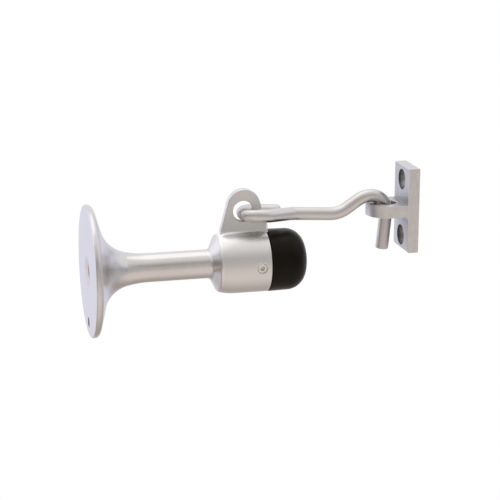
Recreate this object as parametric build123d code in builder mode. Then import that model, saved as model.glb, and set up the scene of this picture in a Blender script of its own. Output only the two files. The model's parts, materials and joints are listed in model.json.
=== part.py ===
"""Wall door stop with a hook: a cast stop with a rubber bumper, a bent rod hook and a door strike.

The stop's axis is X, with the wall at x = 0. The lug, the hook and the strike lie in the plane y = 0, with Z up.
"""
from build123d import *
from math import cos, isclose, radians, sin, sqrt, tan
import os

# Base and stem, mm and degrees
base_radius = 31.75
base_back_edge_round = 0.8
base_rim_band = 1.15
base_rim_round = 2.4
base_front_angle = 17.0
trumpet_radius = 15.6
waist_radius = 50.0
waist_turn = 12.5
stem_radius = 7.0

# Wall fixing holes in the back of the base
stud_hole_radius = 3.3
stud_hole_depth = 24.0
stud_dish_radius = 7.6
stud_dish_angle = 159.0
pin_hole_radius = 2.45
pin_hole_depth = 2.5
pin_circle_radius = 25.2

# Cup head
cup_radius = 15.1
cup_rim_x = 87.5
cup_length = 25.2
cup_wall = 3.2
cup_back_radius = 13.8
cup_crown_radius = 27.0
cup_back_angle = 26.0
cup_rim_chamfer = 0.9
cup_shoulder_round = 1.5
neck_fillet = 2.2
socket_depth = 14.0

# Eye lug on top of the cup
lug_thickness = 4.0
lug_setback = 12.0
lug_crown_radius = 8.1
lug_crown_height = 12.95
lug_crown_shift = 0.35
lug_hole_height = 10.45
lug_back_angle = 15.0
lug_front_angle = 18.0
lug_edge_round = 0.75
lug_hole_round = 0.5
lug_root_fillet = 1.4
seam_width = 0.01

# Rubber bumper
bumper_lip = 0.1
bumper_draft = 1.0
bumper_side_length = 9.4
bumper_corner_radius = 9.2
bumper_corner_turn = 70.0
plug_clearance = 0.1
plug_end_gap = 0.5

# Screw through the side of the cup
screw_radius = 2.4
screw_length = 8.0
screw_from_rim = 5.6
screw_sink = 0.4
screw_clearance = 0.05
screw_key_width = 2.4
screw_key_depth = 2.2
screw_chamfer = 0.35
spot_face_margin = 0.4
spot_face_depth = 0.6
tip_pocket_gap = 0.2

# Hook rod
rod_radius = 3.175
hook_drop_angle = 3.7
eye_play = 1.825
eye_seat_gap = 0.35
eye_pull = 0.4
eye_side_clearance = 0.45
crank_start = 9.65
crank_radius = 9.0
crank_angle = 24.0
tail_gap = 0.8
tail_round = 2.4
shank_length = 43.4
rise_radius = 14.0
rise_angle = 37.7
ramp_length = 6.6
crest_rise_radius = 11.5
crest_fall_radius = 8.0
tip_lean = 1.8
tip_length = 18.4
tip_round = 0.8

# Strike on the door
strike_width = 20.7
strike_height = 42.1
strike_thickness = 5.7
tongue_thickness = 5.95
tongue_seat_gap = 0.55
tongue_reach = 8.2
nose_offset = 0.6
tip_play = 2.2
tip_offset = -0.3
strike_hole_round = 0.5
strike_corner_fillet = 1.5
strike_edge_round = 0.4
door_screw_spacing = 28.0
door_screw_radius = 2.6
door_countersink_radius = 5.1

# Places that follow from the sizes above
cup_back_x = cup_rim_x - cup_length
cup_crown_rise = cup_radius - cup_back_radius
cup_crown_run = sqrt(2 * cup_crown_radius * cup_crown_rise - cup_crown_rise**2)
socket_radius = cup_radius - cup_wall
neck_x = cup_back_x - (cup_back_radius - stem_radius) * tan(radians(cup_back_angle))

lug_x = cup_rim_x - lug_setback
lug_crown_x = lug_x + lug_crown_shift
lug_crown_z = cup_radius + lug_crown_height
lug_hole_z = cup_radius + lug_hole_height
lug_root_z = cup_radius - cup_wall / 2
lug_hole_radius = rod_radius + eye_play

screw_x = cup_rim_x - screw_from_rim
screw_hole_radius = screw_radius + screw_clearance

pivot_x = lug_x + eye_pull
pivot_z = lug_hole_z - lug_hole_radius + rod_radius + eye_seat_gap
eye_radius = lug_thickness / 2 + eye_side_clearance + rod_radius

back_plane = Plane(origin=(0, 0, 0), x_dir=(0, -1, 0), z_dir=(-1, 0, 0))
drop = radians(hook_drop_angle)
shank_dir = (cos(drop), 0, -sin(drop))
eye_plane = Plane(origin=(pivot_x, 0, pivot_z), x_dir=shank_dir, z_dir=(sin(drop), 0, cos(drop)))
bend_plane = Plane(origin=(pivot_x, 0, pivot_z), x_dir=shank_dir, z_dir=(0, -1, 0))

os.makedirs("parts", exist_ok=True)

# Lug blank: a plate with rounded edges that is cast on top of the cup
with BuildPart() as lug:
    with BuildSketch(Plane.XZ):
        with BuildLine():
            back_tan = radians(lug_back_angle)
            front_tan = radians(lug_front_angle)
            back_top_z = lug_crown_z + lug_crown_radius * sin(back_tan)
            back_top = (lug_crown_x - lug_crown_radius * cos(back_tan), back_top_z)
            back_foot = (back_top[0] - (back_top_z - lug_root_z) * tan(back_tan), lug_root_z)
            front_top_z = lug_crown_z + lug_crown_radius * sin(front_tan)
            front_top = (lug_crown_x + lug_crown_radius * cos(front_tan), front_top_z)
            front_end_z = front_top_z - (cup_rim_x - front_top[0]) / tan(front_tan)
            flank = Line(back_foot, back_top)
            ThreePointArc(flank @ 1, (lug_crown_x, lug_crown_z + lug_crown_radius), front_top)
            Polyline(front_top, (cup_rim_x, front_end_z), (cup_rim_x, lug_root_z), back_foot)
        make_face()
    extrude(amount=lug_thickness / 2, both=True)
    lug_sides = lug.edges().filter_by(lambda e: isclose(abs(e.center().Y), lug_thickness / 2))
    open_sides = lug_sides.filter_by(lambda e: e.center().Z > lug_root_z + seam_width)
    fillet(open_sides.filter_by(lambda e: e.center().X < cup_rim_x - seam_width), lug_edge_round)

# Stop body: base, trumpet stem and cup turned in one, with the lug cast on
front_slope = radians(base_front_angle)
waist_slope = radians(waist_turn)
trumpet_turn = 90 - base_front_angle - waist_turn
trumpet_fall = trumpet_radius * (cos(waist_slope) - sin(front_slope))
waist_fall = waist_radius * (1 - cos(waist_slope))
rim_fall = base_rim_round * (1 - sin(front_slope))
front_fall = base_radius - stem_radius - rim_fall - trumpet_fall - waist_fall

with BuildPart() as stop_body:
    with BuildSketch(Plane.XZ):
        with BuildLine():
            back = Line((0, 0), (0, base_radius - base_back_edge_round))
            back_edge = RadiusArc(back @ 1, (base_back_edge_round, base_radius), base_back_edge_round)
            rim = Line(back_edge @ 1, (base_rim_band, base_radius))
            rim_edge = JernArc(rim @ 1, rim % 1, base_rim_round, base_front_angle - 90)
            front = PolarLine(rim_edge @ 1, front_fall / cos(front_slope), direction=rim_edge % 1)
            trumpet = JernArc(front @ 1, front % 1, trumpet_radius, trumpet_turn)
            waist = JernArc(trumpet @ 1, trumpet % 1, waist_radius, waist_turn)
            stem = Line(waist @ 1, (neck_x, stem_radius))
            cup_back = Line(stem @ 1, (cup_back_x, cup_back_radius))
            crown = RadiusArc(cup_back @ 1, (cup_back_x + cup_crown_run, cup_radius), cup_crown_radius)
            Polyline(crown @ 1, (cup_rim_x, cup_radius), (cup_rim_x, 0), back @ 0)
        make_face()
    revolve(axis=Axis.X)
    neck = stop_body.edges().filter_by(GeomType.CIRCLE).sort_by_distance((neck_x, 0, stem_radius))[0]
    fillet(neck, neck_fillet)
    turned_edges = stop_body.edges().filter_by(GeomType.CIRCLE)
    fillet(turned_edges.sort_by_distance((cup_back_x, 0, cup_back_radius))[0], cup_shoulder_round)

    add(lug.part)
    root_edges = stop_body.edges().filter_by(
        lambda e: lug_root_z < e.center().Z < cup_radius and seam_width < abs(e.center().Y) < lug_thickness
    )
    fillet(root_edges, lug_root_fillet)

    with BuildSketch(Plane.XZ):
        with BuildLine():
            Polyline(
                (cup_rim_x - cup_rim_chamfer, cup_radius),
                (cup_rim_x, cup_radius),
                (cup_rim_x, cup_radius - cup_rim_chamfer),
                close=True,
            )
        make_face()
    revolve(axis=Axis.X, mode=Mode.SUBTRACT)

    with BuildSketch(Plane.XZ):
        with Locations((lug_x, lug_hole_z)):
            Circle(lug_hole_radius)
    extrude(amount=lug_thickness, both=True, mode=Mode.SUBTRACT)
    hole_edges = stop_body.edges().filter_by(GeomType.CIRCLE).filter_by(
        lambda e: isclose(e.radius, lug_hole_radius) and isclose(abs(e.center().Y), lug_thickness / 2)
    )
    fillet(hole_edges, lug_hole_round)

    with BuildSketch(Plane.YZ.offset(cup_rim_x)):
        Circle(socket_radius)
    extrude(amount=-socket_depth, mode=Mode.SUBTRACT)
    with BuildSketch(Plane.XZ.offset(cup_radius)):
        with Locations((screw_x, 0)):
            Circle(screw_hole_radius + spot_face_margin)
    extrude(amount=-spot_face_depth, mode=Mode.SUBTRACT)
    with BuildSketch(Plane.XZ.offset(cup_radius)):
        with Locations((screw_x, 0)):
            Circle(screw_hole_radius)
    extrude(amount=-2 * cup_wall, mode=Mode.SUBTRACT)

    with Locations(back_plane):
        CounterSinkHole(stud_hole_radius, stud_dish_radius, stud_hole_depth, counter_sink_angle=stud_dish_angle)
    with Locations(back_plane * Pos(0, -pin_circle_radius, 0)):
        Hole(pin_hole_radius, pin_hole_depth)

stop_body.part.label = "stop_body"
export_step(stop_body.part, "parts/stop_body.step")

# Rubber bumper: a domed nose turned in one with the plug that fills the cup's socket
plug_radius = socket_radius - plug_clearance
plug_length = socket_depth - plug_end_gap
bumper_radius = cup_radius + bumper_lip
screw_tip_y = cup_radius - screw_sink - screw_length

with BuildPart() as bumper:
    with BuildSketch(Plane.XZ):
        with BuildLine():
            axis_line = Line((cup_rim_x - plug_length, 0), (cup_rim_x - plug_length, plug_radius))
            Polyline(axis_line @ 1, (cup_rim_x, plug_radius), (cup_rim_x, bumper_radius))
            bumper_side = PolarLine((cup_rim_x, bumper_radius), bumper_side_length, angle=-bumper_draft)
            corner = JernArc(
                bumper_side @ 1, bumper_side % 1, bumper_corner_radius, bumper_draft - bumper_corner_turn
            )
            dome_radius = (corner @ 1).Y / sin(radians(90 - bumper_corner_turn))
            dome = JernArc(corner @ 1, corner % 1, dome_radius, bumper_corner_turn - 90)
            Line(dome @ 1, axis_line @ 0)
        make_face()
    revolve(axis=Axis.X)
    with BuildSketch(Plane.XZ.offset(screw_tip_y - tip_pocket_gap)):
        with Locations((screw_x, 0)):
            Circle(screw_radius + tip_pocket_gap)
    extrude(amount=cup_radius, mode=Mode.SUBTRACT)

bumper.part.label = "bumper"
export_step(bumper.part, "parts/bumper.step")

# Bumper screw: a headless screw with a hexagon key socket
with BuildPart() as bumper_screw:
    with BuildSketch(Plane.XZ.offset(screw_tip_y)):
        with Locations((screw_x, 0)):
            Circle(screw_radius)
    extrude(amount=screw_length)
    chamfer(bumper_screw.edges().filter_by(GeomType.CIRCLE), screw_chamfer)
    with BuildSketch(Plane.XZ.offset(screw_tip_y + screw_length)):
        with Locations((screw_x, 0)):
            RegularPolygon(screw_key_width / 2, 6, major_radius=False)
    extrude(amount=-screw_key_depth, mode=Mode.SUBTRACT)

bumper_screw.part.label = "bumper_screw"
export_step(bumper_screw.part, "parts/bumper_screw.step")

# Hook: one rod, bent round the lug's hole, cranked to the middle, raised over the tongue and dropped through it
crank = radians(crank_angle)
crank_arc_shift = crank_radius * (1 - cos(crank))
crank_run_length = (eye_radius - 2 * crank_arc_shift) / sin(crank)
tail_shift = 2 * eye_radius - rod_radius - rod_radius / cos(crank) - tail_gap
tail_end = crank_start + crank_radius * sin(crank) + (tail_shift - crank_arc_shift) / tan(crank)

with BuildPart() as hook:
    with BuildLine(eye_plane):
        tail = Line((tail_end, eye_radius), (eye_radius, eye_radius))
        eye = JernArc(tail @ 1, tail % 1, eye_radius, 180)
        strand = Line(eye @ 1, (crank_start, -eye_radius))
        crank_in = JernArc(strand @ 1, strand % 1, crank_radius, crank_angle)
        crank_run = PolarLine(crank_in @ 1, crank_run_length, direction=crank_in % 1)
        crank_out = JernArc(crank_run @ 1, crank_run % 1, crank_radius, -crank_angle)
    with BuildLine(bend_plane):
        shank = Line(crank_out @ 1, (shank_length, 0))
        rise = JernArc(shank @ 1, shank % 1, rise_radius, rise_angle)
        ramp = PolarLine(rise @ 1, ramp_length, direction=rise % 1)
        crest_rise = JernArc(ramp @ 1, ramp % 1, crest_rise_radius, -rise_angle)
        crest_fall = JernArc(crest_rise @ 1, crest_rise % 1, crest_fall_radius, -90 - tip_lean)
        tip = PolarLine(crest_fall @ 1, tip_length, direction=crest_fall % 1)
    with BuildSketch(Plane(origin=tail @ 0, z_dir=tail % 0)):
        Circle(rod_radius)
    sweep()
    ends = hook.edges().filter_by(GeomType.CIRCLE)
    fillet(ends.sort_by_distance(tip @ 1)[0], tip_round)
    fillet(ends.sort_by_distance(tail @ 0)[0], tail_round)

hook.part.label = "hook"
export_step(hook.part, "parts/hook.step")

# Strike: a T-section with a round-nosed tongue, set by the hook's crest and tip
crest_centre = crest_fall.center_point
tongue_top_z = crest_centre.Z + crest_fall_radius - rod_radius - tongue_seat_gap
strike_z = tongue_top_z - tongue_thickness / 2
strike_hole_x = (crest_fall @ 1).X + tip_offset
strike_hole_radius = rod_radius + tip_play
plate_x = strike_hole_x + tongue_reach
plate_back_x = plate_x + strike_thickness
nose_centre_x = strike_hole_x + nose_offset
nose_x = nose_centre_x - strike_width / 2
strike_front = Plane(origin=(plate_x, 0, strike_z), x_dir=(0, -1, 0), z_dir=(-1, 0, 0))

with BuildPart() as strike:
    with BuildSketch(Plane.XZ) as section:
        with Locations((plate_x, strike_z)):
            Rectangle(strike_thickness, strike_height, align=(Align.MIN, Align.CENTER))
            Rectangle(plate_x - nose_x, tongue_thickness, align=(Align.MAX, Align.CENTER))
        inner = section.vertices().group_by(Axis.X)[1].sort_by_distance((plate_x, 0, strike_z))[0:2]
        fillet(inner, strike_corner_fillet)
    extrude(amount=strike_width / 2, both=True)
    fillet(strike.edges().group_by(Axis.Z)[-1], strike_edge_round)
    fillet(strike.edges().group_by(Axis.Z)[0], strike_edge_round)
    with BuildSketch(Plane.XY.offset(strike_z)):
        with Locations((nose_centre_x, 0)):
            Circle(strike_width / 2)
            Rectangle(plate_back_x - nose_centre_x, strike_width, align=(Align.MIN, Align.CENTER))
    extrude(amount=strike_height, both=True, mode=Mode.INTERSECT)
    with BuildSketch(Plane.XY.offset(tongue_top_z)):
        with Locations((strike_hole_x, 0)):
            Circle(strike_hole_radius)
    extrude(amount=-tongue_thickness, mode=Mode.SUBTRACT)
    hole_rims = strike.edges().filter_by(GeomType.CIRCLE).filter_by(
        lambda e: isclose(e.radius, strike_hole_radius)
    )
    fillet(hole_rims, strike_hole_round)
    with Locations(strike_front):
        with GridLocations(door_screw_spacing, door_screw_spacing, 1, 2):
            CounterSinkHole(door_screw_radius, door_countersink_radius, strike_thickness)

strike.part.label = "strike"
export_step(strike.part, "parts/strike.step")
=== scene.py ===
"""Looks for the wall door stop: a satin casting, a rod hook, a brushed strike and a rubber bumper."""
import json
import math

import bpy
from mathutils import Matrix, Vector


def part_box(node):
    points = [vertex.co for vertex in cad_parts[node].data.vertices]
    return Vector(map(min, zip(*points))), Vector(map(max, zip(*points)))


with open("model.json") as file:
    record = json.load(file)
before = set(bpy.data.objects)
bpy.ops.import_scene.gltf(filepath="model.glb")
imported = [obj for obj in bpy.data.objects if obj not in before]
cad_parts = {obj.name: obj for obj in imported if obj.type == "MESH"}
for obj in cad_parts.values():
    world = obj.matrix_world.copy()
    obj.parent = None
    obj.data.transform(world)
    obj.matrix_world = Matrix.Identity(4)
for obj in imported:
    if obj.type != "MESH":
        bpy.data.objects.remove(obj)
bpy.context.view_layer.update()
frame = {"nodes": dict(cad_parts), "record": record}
nodes = frame["nodes"]
mounts = {mount["name"]: mount for mount in frame["record"]["mounts"]}
scene = bpy.context.scene
scene.view_settings.view_transform = "Standard"

# Places on the part, in metres: the wall is at x = 0, and the casting is turned about the x axis
dish_depth = mounts["wall_fixing"]["pos_m"][0]
dish_radius = 0.0076
wall_hole_radius = mounts["wall_fixing"]["dims"]["r_mm"] / 1000.0
flare_mid_x = 0.010  # where the flare's own finish begins to fade
flare_end_x = 0.020  # where it ends
cup_rim_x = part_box("stop_body")[1][0]
cup_length = 0.0244  # from its shoulder to its rim
cup_radius = 0.0151
shoulder_x = cup_rim_x - cup_length
lug_low_z = 0.018
lug_high_z = 0.034
screw_face_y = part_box("bumper_screw")[0][1]
door_face_x = mounts["door_face"]["pos_m"][0]
strike_nose_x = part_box("strike")[0][0]
strike_mid_z = mounts["door_face"]["pos_m"][2]
door_screw_radius = mounts["door_screws"]["dims"]["hole_r_mm"] / 1000.0
countersink_radius = 0.0050
half_screw_spacing = mounts["door_screws"]["dims"]["spacing_y_mm"] / 2000.0


# Node helpers
def new_material(name):
    """A new material, its node tree and its main shader."""
    material = bpy.data.materials.new(name)
    material.use_nodes = True
    tree = material.node_tree
    return material, tree, tree.nodes["Principled BSDF"]


def add(tree, kind, **settings):
    """A node of that kind, with each setting given to its input of that name, or else to its property."""
    node = tree.nodes.new(kind)
    for key, value in settings.items():
        if key in node.inputs:
            node.inputs[key].default_value = value
        else:
            setattr(node, key, value)
    return node


def feed(tree, socket, value):
    """Links a socket to an input, or sets the input to a number, a vector or an RGB tuple."""
    if isinstance(value, bpy.types.NodeSocket):
        tree.links.new(value, socket)
    elif isinstance(value, tuple):
        socket.default_value = (*value, 1.0)
    else:
        socket.default_value = value


def math_node(tree, operation, *values):
    """One Math node on one or two values, each a socket or a number."""
    node = add(tree, "ShaderNodeMath", operation=operation)
    for socket, value in zip(node.inputs, values):
        feed(tree, socket, value)
    return node.outputs[0]


def product(tree, first, *others):
    """All the values multiplied together."""
    for value in others:
        first = math_node(tree, "MULTIPLY", first, value)
    return first


def total(tree, first, *others):
    """All the values added together."""
    for value in others:
        first = math_node(tree, "ADD", first, value)
    return first


def magnitude(tree, value):
    """The value without its sign."""
    return math_node(tree, "ABSOLUTE", value)


def map_range(tree, value, low, high, to_low=0.0, to_high=1.0, smooth=False):
    """Value from low..high to to_low..to_high, held at the ends. Low may be the greater of the two."""
    node = add(tree, "ShaderNodeMapRange", interpolation_type="SMOOTHSTEP" if smooth else "LINEAR")
    tree.links.new(value, node.inputs["Value"])
    limits = {"From Min": low, "From Max": high, "To Min": to_low, "To Max": to_high}
    for key, number in limits.items():
        node.inputs[key].default_value = number
    return node.outputs[0]


def fade(tree, value, start, full, top=1.0):
    """A soft mask: 0 at start and top at full. Start may be the greater of the two."""
    return map_range(tree, value, start, full, 0.0, top, smooth=True)


def spread(tree, texture, to_low=0.0, to_high=1.0):
    """The usual span of a noise texture, stretched to that range."""
    usual_low, usual_high = 0.3, 0.7
    return map_range(tree, texture, usual_low, usual_high, to_low, to_high)


def blend(tree, a, b, share):
    """Part share of b and the rest of a."""
    return total(tree, product(tree, a, 1.0 - share), product(tree, b, share))


def combine(tree, *values):
    """A vector of three values, each a socket or a number."""
    node = add(tree, "ShaderNodeCombineXYZ")
    for socket, value in zip(node.inputs, values):
        feed(tree, socket, value)
    return node.outputs[0]


def parts(tree, vector):
    """The x, y and z of a vector."""
    node = add(tree, "ShaderNodeSeparateXYZ")
    tree.links.new(vector, node.inputs[0])
    return node.outputs


def distance(tree, a, b):
    """Length of the vector with these two parts."""
    return math_node(tree, "SQRT", total(tree, product(tree, a, a), product(tree, b, b)))


def dot(tree, a, b):
    """Dot product of two vectors, of which b may be a fixed one."""
    node = add(tree, "ShaderNodeVectorMath", operation="DOT_PRODUCT")
    tree.links.new(a, node.inputs[0])
    feed(tree, node.inputs[1], b)
    return node.outputs["Value"]


def mix_colour(tree, factor, a, b):
    """Colour a where factor is 0 and b where it is 1. Each is a socket or an RGB tuple."""
    node = add(tree, "ShaderNodeMix", data_type="RGBA")
    # Input 0 is the factor, inputs 6 and 7 are the two colours, and output 2 is the mixed colour
    for number, value in ((0, factor), (6, a), (7, b)):
        feed(tree, node.inputs[number], value)
    return node.outputs[2]


def noise(tree, vector, scale, detail=3.0, rough=0.55):
    """Fractal noise, with about scale bumps to the metre."""
    node = add(tree, "ShaderNodeTexNoise", Scale=scale, Detail=detail, Roughness=rough)
    tree.links.new(vector, node.inputs["Vector"])
    return node.outputs[0]


def mottle(tree, texture, dark, light):
    """A colour that wanders between two with a noise texture."""
    return mix_colour(tree, spread(tree, texture), dark, light)


def bump(tree, height, strength, depth):
    """A normal that follows a height texture. Depth is its full relief in metres."""
    node = add(tree, "ShaderNodeBump", Strength=strength, Distance=depth)
    tree.links.new(height, node.inputs["Height"])
    return node.outputs[0]


def object_place(tree):
    """The point in the part's frame, in metres."""
    return add(tree, "ShaderNodeTexCoord").outputs["Object"]


def surface_normal(tree):
    """The surface's own normal."""
    return add(tree, "ShaderNodeNewGeometry").outputs["Normal"]


def edges(tree, radius):
    """1 on edges and in corners, 0 on open faces: how far a rounded normal leaves the surface's own."""
    rounded = add(tree, "ShaderNodeBevel", samples=6, Radius=radius).outputs[0]
    match = dot(tree, rounded, surface_normal(tree))
    return fade(tree, match, start=0.99, full=0.88)


def wear(tree, clouds, radius, least, most):
    """Rubbed edges of that radius: least where the clouds are thin, most where they are thick."""
    thin, thick = 0.35, 0.6
    return product(tree, edges(tree, radius), map_range(tree, clouds, thin, thick, least, most))


def wire(tree, shader, colour, rough, normal, metallic=1.0):
    """Feeds the shader's main inputs."""
    looks = {"Base Color": colour, "Roughness": rough, "Normal": normal, "Metallic": metallic}
    for key, value in looks.items():
        feed(tree, shader.inputs[key], value)


def background_rays(tree):
    """1 for the rays that show the background itself: from the camera, and on through clear material."""
    path = add(tree, "ShaderNodeLightPath")
    return math_node(tree, "MAXIMUM", path.outputs["Is Camera Ray"], path.outputs["Is Transmission Ray"])


# Materials
def cast_metal():
    """Satin plated casting with turning rings and clouds: painted shade on the flare, a paler, coarser
    cup, painted light beside the lug, painted shade on the lug faces, rubbed edges, painted highlight
    lines on the shoulder and rim, and bare metal in the wall hole."""
    material, tree, shader = new_material("satin_cast_metal")
    satin_dark = (0.665, 0.640, 0.622)
    satin_light = (0.725, 0.702, 0.684)
    pale_cup = (0.81, 0.79, 0.77)
    painted_light_top = (0.97, 0.965, 0.96)
    painted_flare_shade = (0.46, 0.47, 0.50)
    painted_lug_shade = (0.51, 0.522, 0.508)
    rubbed = (0.84, 0.825, 0.815)
    bare_dish = (0.70, 0.635, 0.61)
    bare_hole = (0.86, 0.74, 0.67)
    cup_tint = 0.42
    ring_drift = 0.0006  # metres of the ring texture to a radian of turn

    place = object_place(tree)
    x, y, z = parts(tree, place)
    radius = distance(tree, y, z)
    turn = product(tree, math_node(tree, "ARCTAN2", y, z), ring_drift)
    rings = noise(tree, combine(tree, x, turn, radius), scale=1700.0, detail=2.0)
    clouds = noise(tree, place, scale=55.0, detail=4.0)
    grain = noise(tree, place, scale=3800.0, detail=2.0)

    on_cup = fade(tree, x, start=shoulder_x - 0.0010, full=shoulder_x + 0.0004)
    # Painted light: the cup's top beside the lug's root is lightened in its colour, against the shade
    # there
    painted_light_beside_lug = product(
        tree,
        on_cup,
        fade(tree, z, start=cup_radius - 0.0033, full=cup_radius - 0.0015, top=0.798),
        fade(tree, z, start=cup_radius + 0.0014, full=cup_radius - 0.0001),
    )
    # Painted shade on the flare, a darker band partway along it
    flare_shade_mask = product(
        tree,
        fade(tree, x, start=0.004, full=0.008, top=0.16),
        fade(tree, x, start=flare_end_x, full=0.012),
    )
    sideways = magnitude(tree, parts(tree, surface_normal(tree))[1])
    # Painted shade on the lug's side faces, darkest towards their root on the cup
    lug_shade_mask = product(
        tree,
        fade(tree, sideways, start=0.85, full=0.98),
        fade(tree, z, start=cup_radius - 0.0001, full=cup_radius + 0.0014),
        map_range(tree, z, lug_low_z, lug_high_z, to_low=0.82, to_high=0.2),
    )
    colour = mottle(tree, blend(tree, rings, clouds, share=0.5), satin_dark, satin_light)
    colour = mix_colour(tree, product(tree, on_cup, cup_tint), colour, pale_cup)
    colour = mix_colour(tree, painted_light_beside_lug, colour, painted_light_top)
    colour = mix_colour(tree, flare_shade_mask, colour, painted_flare_shade)
    colour = mix_colour(tree, lug_shade_mask, colour, painted_lug_shade)

    # A painted highlight line round the cup's shoulder
    off_shoulder = magnitude(tree, math_node(tree, "SUBTRACT", x, shoulder_x))
    painted_shoulder_highlight = product(
        tree,
        fade(tree, off_shoulder, start=0.0006, full=0.0002, top=0.4),
        fade(tree, radius, start=cup_radius - 0.0002, full=cup_radius - 0.0005),
    )
    # A painted highlight along the cup's rim
    rim = fade(tree, x, start=cup_rim_x - 0.0010, full=cup_rim_x - 0.0007)
    worn = wear(tree, clouds, radius=0.0008, least=0.45, most=1.0)
    worn = math_node(tree, "MAXIMUM", worn, painted_shoulder_highlight)
    worn = math_node(tree, "MAXIMUM", worn, rim)
    # The rubbed colour paints the worn edges and also the painted highlight lines on the shoulder and rim
    colour = mix_colour(tree, worn, colour, rubbed)

    dish = product(
        tree,
        map_range(tree, x, dish_depth + 0.0004, dish_depth + 0.0001),
        map_range(tree, radius, dish_radius + 0.0001, dish_radius - 0.0003),
    )
    hole = map_range(tree, radius, wall_hole_radius + 0.0002, wall_hole_radius)
    bare = math_node(tree, "MAXIMUM", dish, hole)
    colour = mix_colour(tree, bare, colour, bare_dish)
    colour = mix_colour(tree, hole, colour, bare_hole)

    stem_rough, cup_rough = 0.20, 0.37
    flare_rough, waist_rough = 0.29, 0.19
    worn_smoother, bare_rougher = -0.07, 0.12
    along = map_range(tree, on_cup, 0.0, 1.0, stem_rough, cup_rough)
    at_flare = product(
        tree,
        map_range(tree, x, flare_mid_x, flare_end_x, flare_rough, waist_rough, smooth=True),
        map_range(tree, x, low=0.0005, high=0.0020, to_low=0.75, smooth=True),
    )
    rough = total(
        tree,
        math_node(tree, "MAXIMUM", along, at_flare),
        spread(tree, blend(tree, clouds, rings, share=0.4), to_low=-0.02, to_high=0.05),
        product(tree, worn, worn_smoother),
        product(tree, bare, bare_rougher),
    )
    normal = bump(tree, blend(tree, rings, grain, share=0.4), strength=0.03, depth=0.00002)
    metallic = map_range(tree, hole, 0.0, 1.0, to_low=1.0, to_high=0.1)
    wire(tree, shader, colour, rough, normal, metallic)
    return material


def rod_metal():
    """Drawn rod with a satin finish: fine lines along it, a faint mottle, a darker, rougher tip and rubbed
    ends.
    """
    material, tree, shader = new_material("satin_rod")
    satin_dark = (0.65, 0.622, 0.602)
    satin_light = (0.71, 0.684, 0.664)
    darker_tip = (0.53, 0.505, 0.48)
    rubbed = (0.76, 0.74, 0.72)
    line_stretch = 0.04
    tip_tint = 0.35
    tip_rougher = 0.16

    place = object_place(tree)
    x, y, z = parts(tree, place)
    lines = noise(tree, combine(tree, product(tree, x, line_stretch), y, z), scale=3200.0, detail=2.0)
    clouds = noise(tree, place, scale=90.0, detail=4.0)
    tip = product(
        tree,
        fade(tree, x, start=strike_nose_x, full=strike_nose_x + 0.008),
        fade(tree, z, start=strike_mid_z + 0.0014, full=strike_mid_z - 0.0066),
    )
    worn = wear(tree, clouds, radius=0.0006, least=0.2, most=0.8)
    colour = mottle(tree, blend(tree, lines, clouds, share=0.5), satin_dark, satin_light)
    colour = mix_colour(tree, product(tree, tip, tip_tint), colour, darker_tip)
    colour = mix_colour(tree, worn, colour, rubbed)
    rough = total(
        tree,
        spread(tree, clouds, to_low=0.27, to_high=0.33),
        spread(tree, lines, to_high=0.06),
        product(tree, tip, tip_rougher),
    )
    wire(tree, shader, colour, rough, bump(tree, lines, strength=0.12, depth=0.00002))
    return material


def strike_metal():
    """Brushed metal: grain up the plate, painted shade on the plate face, stronger towards the top,
    painted shade in the inner angles and near the hook, rubbed edges and painted shade in the
    countersinks."""
    material, tree, shader = new_material("brushed_strike")
    brushed_dark = (0.60, 0.577, 0.56)
    brushed_light = (0.77, 0.745, 0.725)
    painted_plate_shade = (0.515, 0.505, 0.52)
    painted_corner_shade = (0.40, 0.40, 0.43)
    rubbed = (0.83, 0.815, 0.80)
    painted_cone_shade_inner = (0.44, 0.43, 0.42)
    painted_cone_shade_outer = (0.078, 0.078, 0.081)
    grain_stretch = 0.12

    place = object_place(tree)
    x, y, z = parts(tree, place)
    brushed = combine(tree, x, y, product(tree, z, grain_stretch))
    grain = noise(tree, brushed, scale=1700.0, detail=3.0, rough=0.7)
    clouds = noise(tree, place, scale=300.0, detail=4.0, rough=0.65)

    along_axis = magnitude(tree, parts(tree, surface_normal(tree))[0])
    # Painted shade on the plate face, stronger towards the top
    plate = product(
        tree,
        fade(tree, along_axis, start=0.90, full=0.98, top=0.75),
        fade(tree, x, start=door_face_x - 0.0100, full=door_face_x - 0.0085),
        map_range(tree, z, strike_mid_z - 0.006, strike_mid_z + 0.006, to_low=0.3, smooth=True),
    )
    # Painted shade from ambient occlusion: darker in inner angles and near the hook
    openness = add(tree, "ShaderNodeAmbientOcclusion", samples=8, Distance=0.008).outputs["AO"]
    corners = map_range(tree, openness, low=0.97, high=0.48, to_high=0.85)
    worn = wear(tree, clouds, radius=0.0007, least=0.4, most=1.0)
    colour = mottle(tree, blend(tree, grain, clouds, share=0.4), brushed_dark, brushed_light)
    colour = mix_colour(tree, plate, colour, painted_plate_shade)
    colour = mix_colour(tree, corners, colour, painted_corner_shade)
    colour = mix_colour(tree, worn, colour, rubbed)

    # Painted shade in the countersinks, darkest towards their outer edge
    off_middle = magnitude(tree, math_node(tree, "SUBTRACT", z, strike_mid_z))
    off_axis = distance(tree, y, math_node(tree, "SUBTRACT", off_middle, half_screw_spacing))
    up_cone = map_range(tree, off_axis, door_screw_radius, countersink_radius - 0.0002)
    sunk = product(
        tree,
        map_range(tree, off_axis, countersink_radius + 0.0002, countersink_radius),
        map_range(tree, x, door_face_x - 0.0004, door_face_x - 0.0008),
    )
    colour = mix_colour(tree, sunk, colour, mix_colour(tree, up_cone, painted_cone_shade_inner, painted_cone_shade_outer))

    rough = total(
        tree,
        spread(tree, clouds, to_low=0.35, to_high=0.43),
        spread(tree, grain, to_high=0.1),
    )
    wire(tree, shader, colour, rough, bump(tree, grain, strength=0.25, depth=0.00003))
    return material


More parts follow.
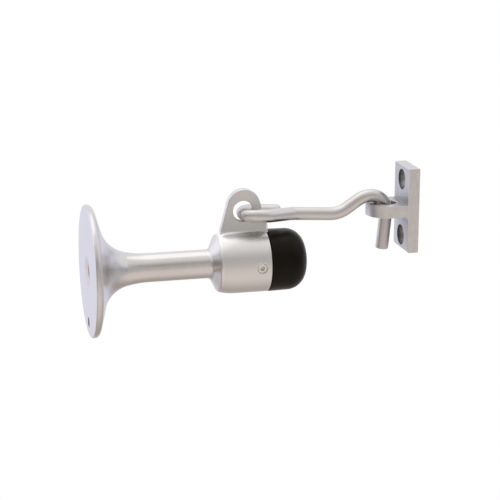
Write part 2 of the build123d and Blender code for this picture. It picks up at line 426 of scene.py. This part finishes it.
def screw_metal():
    """Bright zinc-plated steel, faintly green and mottled, duller in its key socket."""
    material, tree, shader = new_material("zinc_screw")
    zinc_dark = (0.70, 0.71, 0.66)
    zinc_light = (0.84, 0.85, 0.80)
    dull_socket = (0.78, 0.78, 0.71)

    place = object_place(tree)
    y = parts(tree, place)[1]
    clouds = noise(tree, place, scale=700.0)
    in_socket = map_range(tree, y, screw_face_y + 0.0002, screw_face_y + 0.0009)
    colour = mix_colour(tree, in_socket, mottle(tree, clouds, zinc_dark, zinc_light), dull_socket)
    rough = spread(tree, clouds, to_low=0.22, to_high=0.34)
    wire(tree, shader, colour, rough, bump(tree, clouds, strength=0.1, depth=0.00003))
    return material


def bumper_rubber():
    """Moulded black rubber: a fine satin skin with paler specks, a faint brown bloom and a dusty sheen."""
    material, tree, shader = new_material("black_rubber")
    black = (0.0024, 0.0020, 0.0016)
    brown_bloom = (0.0047, 0.0038, 0.0030)
    specks = (0.016, 0.0135, 0.011)

    place = object_place(tree)
    skin = noise(tree, place, scale=2400.0)
    bloom = noise(tree, place, scale=110.0, detail=4.0)
    colour = mix_colour(tree, map_range(tree, bloom, low=0.35, high=0.75), black, brown_bloom)
    speckled = map_range(tree, skin, low=0.62, high=0.8, to_high=0.6)
    colour = mix_colour(tree, speckled, colour, specks)
    rough = spread(tree, bloom, to_low=0.27, to_high=0.37)
    normal = bump(tree, skin, strength=0.15, depth=0.00003)
    wire(tree, shader, colour, rough, normal, metallic=0.0)
    gloss = {
        "Specular IOR Level": 0.14,
        "Specular Tint": (1.0, 0.90, 0.76),
        "Sheen Weight": 0.08,
        "Sheen Roughness": 0.45,
        "Sheen Tint": (0.90, 0.64, 0.38),
    }
    for key, value in gloss.items():
        feed(tree, shader.inputs[key], value)
    return material


def dress(name, material, angle=30.0):
    """Gives a CAD node its material and shades it smooth up to that angle, in degrees."""
    mesh = nodes[name].data
    mesh.materials.clear()
    mesh.materials.append(material)
    mesh.shade_smooth()
    mesh.set_sharp_from_angle(angle=math.radians(angle))


dress("stop_body", cast_metal())
dress("hook", rod_metal())
dress("strike", strike_metal())
dress("bumper", bumper_rubber())
dress("bumper_screw", screw_metal())


# World: colours by direction, each list from low to high as (height of the direction, colour)
front_colours = [
    (-0.6, (0.74, 0.68, 0.64)),
    (-0.25, (0.69, 0.655, 0.63)),
    (0.0, (0.60, 0.575, 0.56)),
    (0.26, (0.53, 0.515, 0.505)),
    (0.48, (0.41, 0.40, 0.395)),
    (0.72, (0.72, 0.705, 0.70)),
    (0.88, (0.90, 0.89, 0.88)),
    (1.0, (0.94, 0.93, 0.92)),
]
behind_colours = [
    (-0.9, (0.45, 0.41, 0.385)),
    (-0.6, (0.58, 0.55, 0.54)),
    (-0.3, (0.78, 0.79, 0.99)),
    (0.0, (0.86, 0.87, 1.02)),
    (0.5, (0.97, 0.97, 1.0)),
    (1.0, (0.90, 0.90, 0.90)),
]
left_colours = [
    (-0.9, (0.50, 0.46, 0.43)),
    (-0.45, (0.58, 0.57, 0.59)),
    (-0.22, (0.46, 0.46, 0.48)),
    (-0.02, (0.33, 0.33, 0.35)),
    (0.30, (0.33, 0.33, 0.35)),
    (0.50, (1.06, 1.09, 1.20)),
    (0.75, (1.0, 1.02, 1.08)),
    (1.0, (0.90, 0.90, 0.90)),
]
right_colours = [
    (-0.9, (0.50, 0.46, 0.43)),
    (-0.3, (0.66, 0.65, 0.66)),
    (0.0, (0.48, 0.48, 0.50)),
    (0.22, (0.44, 0.445, 0.475)),
    (0.44, (0.88, 0.90, 0.97)),
    (0.7, (1.0, 1.0, 1.04)),
    (1.0, (0.94, 0.93, 0.92)),
]


def height_ramp(tree, height, stops):
    """A colour ramp over the direction's height, from -1, straight down, to 1, straight up."""
    ramp = add(tree, "ShaderNodeValToRGB")
    tree.links.new(map_range(tree, height, -1.0, 1.0), ramp.inputs[0])
    marks = ramp.color_ramp.elements
    while len(marks) < len(stops):
        marks.new(0.5)
    for mark, (stop, colour) in zip(marks, stops):
        mark.position = (stop + 1.0) / 2.0
        mark.color = (*colour, 1.0)
    return ramp.outputs[0]


def lit_panel(tree, direction, room, middle, edge, full, colour):
    """The room with a soft round panel about its middle: edge and full are cosines of its two angles."""
    toward = dot(tree, direction, Vector(middle).normalized())
    return mix_colour(tree, fade(tree, toward, edge, full), room, colour)


def studio_world():
    """A soft studio: a dimmer room on the camera's side, a bright backdrop behind, two sides that are dim
    low down, two lit panels, and plain white where the background itself shows."""
    world = bpy.data.worlds.new("studio")
    world.use_nodes = True
    tree = world.node_tree
    tree.nodes.clear()
    direction = add(tree, "ShaderNodeTexCoord").outputs["Generated"]
    x, y, z = parts(tree, direction)

    to_behind = fade(tree, y, start=-0.35, full=0.3)
    to_left = product(tree, fade(tree, x, start=-0.5, full=-0.85), fade(tree, y, start=0.5, full=0.25))
    to_right = product(tree, fade(tree, x, start=0.35, full=0.7), fade(tree, y, start=0.85, full=0.55))
    front = height_ramp(tree, z, front_colours)
    studio = mix_colour(tree, to_behind, front, height_ramp(tree, z, behind_colours))
    studio = mix_colour(tree, to_left, studio, height_ramp(tree, z, left_colours))
    studio = mix_colour(tree, to_right, studio, height_ramp(tree, z, right_colours))
    studio = lit_panel(
        tree,
        direction,
        studio,
        middle=(-0.80, 0.55, 0.22),
        edge=0.80,
        full=0.96,
        colour=(1.22, 1.24, 1.36),
    )
    studio = lit_panel(
        tree,
        direction,
        studio,
        middle=(0.93, 0.22, 0.16),
        edge=0.90,
        full=0.975,
        colour=(0.88, 0.90, 1.03),
    )

    # Mirrors show the far backdrop a little whiter
    glossy = add(tree, "ShaderNodeLightPath").outputs["Is Glossy Ray"]
    mirrored = product(tree, glossy, fade(tree, y, start=0.6, full=0.9, top=0.3))
    white_share = math_node(tree, "MAXIMUM", background_rays(tree), mirrored)
    light = add(tree, "ShaderNodeBackground", Strength=1.0)
    tree.links.new(mix_colour(tree, white_share, studio, (1.0, 1.0, 1.0)), light.inputs["Color"])
    tree.links.new(light.outputs[0], add(tree, "ShaderNodeOutputWorld").inputs["Surface"])
    return world


scene.world = studio_world()


# Floor well below the part, as under a wall fitting
def floor_paint():
    """Pale floor with painted shade under and behind the part; to the camera it shows white but for the
    part's faint shadow.
    """
    material, tree, shader = new_material("pale_floor")
    pale_dark = (0.90, 0.815, 0.75)
    pale_light = (0.93, 0.845, 0.78)
    dim = (0.51, 0.455, 0.415)
    shadow_radius, white_radius = 0.05, 0.33
    shadow_white = 0.6

    place = object_place(tree)
    x, y, _ = parts(tree, place)
    pale = mix_colour(tree, noise(tree, place, scale=40.0, detail=4.0), pale_dark, pale_light)
    # Painted shade: the floor darkens under and behind the part
    paint = mix_colour(tree, fade(tree, y, start=-0.34, full=0.14), pale, dim)
    tree.links.new(paint, shader.inputs["Base Color"])
    shader.inputs["Roughness"].default_value = 0.8

    radius = distance(tree, x, y)
    whiteness = map_range(tree, radius, shadow_radius, white_radius, to_low=shadow_white, smooth=True)
    white = add(tree, "ShaderNodeEmission", Strength=1.0)
    look = add(tree, "ShaderNodeMixShader")
    tree.links.new(product(tree, background_rays(tree), whiteness), look.inputs[0])
    tree.links.new(shader.outputs[0], look.inputs[1])
    tree.links.new(white.outputs[0], look.inputs[2])
    tree.links.new(look.outputs[0], tree.nodes["Material Output"].inputs["Surface"])
    return material


floor_z = -0.42
floor_left, floor_right = -1.6, 0.8
floor_front, floor_back = -1.8, 0.35
floor_corners = [
    (floor_left, floor_front, floor_z),
    (floor_right, floor_front, floor_z),
    (floor_right, floor_back, floor_z),
    (floor_left, floor_back, floor_z),
]
floor_mesh = bpy.data.meshes.new("floor")
floor_mesh.from_pydata(floor_corners, [], [(0, 1, 2, 3)])
floor_mesh.materials.append(floor_paint())
floor = bpy.data.objects.new("floor", floor_mesh)
scene.collection.objects.link(floor)

# One wide soft lamp above and a little behind, turned to the cup
cup_place = Vector((0.07, 0.0, 0.0))
lamp_data = bpy.data.lights.new("softbox", "AREA")
lamp_data.shape = "RECTANGLE"
lamp_data.size = 1.3
lamp_data.size_y = 1.0
lamp_data.energy = 2.0
lamp = bpy.data.objects.new("softbox", lamp_data)
lamp.location = (-0.05, 0.22, 1.15)
lamp.rotation_euler = (cup_place - lamp.location).to_track_quat("-Z", "Y").to_euler()
scene.collection.objects.link(lamp)

# Camera at the photograph's place
camera_place = Vector((-0.09095, -0.70128, 0.20250))
turn_left = math.radians(13.645)
look_down = math.radians(15.27)
right = Vector((math.cos(turn_left), -math.sin(turn_left), 0.0))
back = Vector((
    -math.sin(turn_left) * math.cos(look_down),
    -math.cos(turn_left) * math.cos(look_down),
    math.sin(look_down),
))
up = back.cross(right)
camera_data = bpy.data.cameras.new("camera")
camera_data.sensor_width = 36.0
camera_data.lens = 111.186
camera = bpy.data.objects.new("camera", camera_data)
camera.matrix_world = Matrix.Translation(camera_place) @ Matrix((right, up, back)).transposed().to_4x4()
scene.collection.objects.link(camera)
scene.camera = camera
